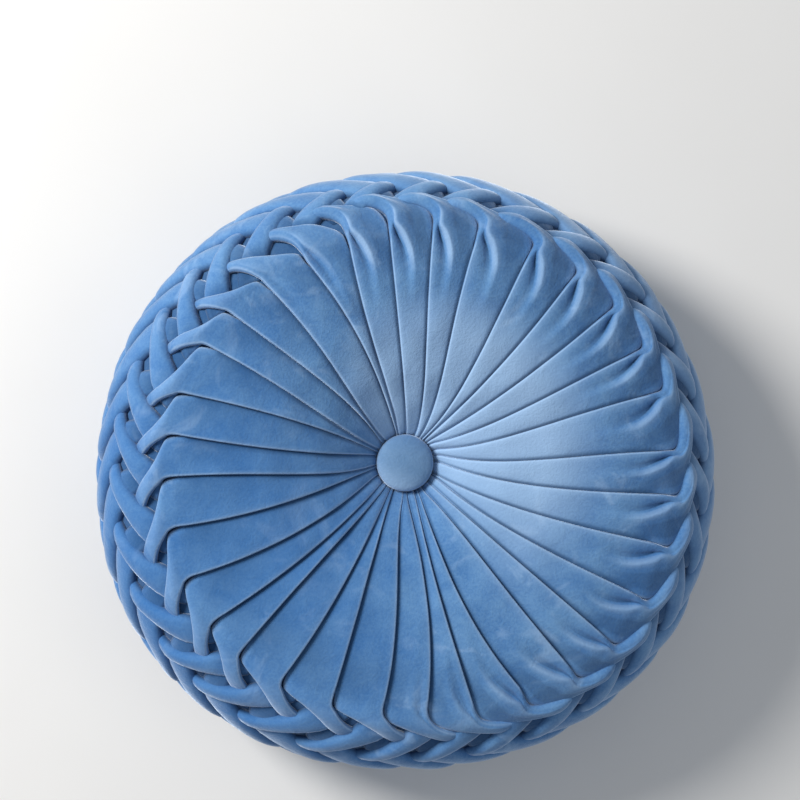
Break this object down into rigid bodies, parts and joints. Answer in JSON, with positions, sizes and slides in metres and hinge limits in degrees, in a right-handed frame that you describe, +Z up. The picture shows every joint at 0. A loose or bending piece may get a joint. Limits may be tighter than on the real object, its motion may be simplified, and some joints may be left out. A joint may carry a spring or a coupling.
{
  "type": "round velvet cushion",
  "caption": "Round velvet cushion with pleats drawn to a covered button and a smocked side of leaning strands, lying on its back.",
  "frame": {"origin": "middle of the cushion's bounding box, on the surface that it lies on", "axes": "+Z up out of the face, +X across the face to the picture's right, +Y to the picture's top"},
  "size_m": [0.3764, 0.3618, 0.108],
  "materials": {
    "cover_velvet": "blue cut velvet with a short dense pile, soft sheen on the slopes that turn to the light",
    "button_velvet": "the same blue velvet, stretched over a domed button"
  },
  "bodies": {
    "root": {"cushion": "cover_velvet", "face_button": "button_velvet", "back_button": "button_velvet"}
  },
  "joints": []
}
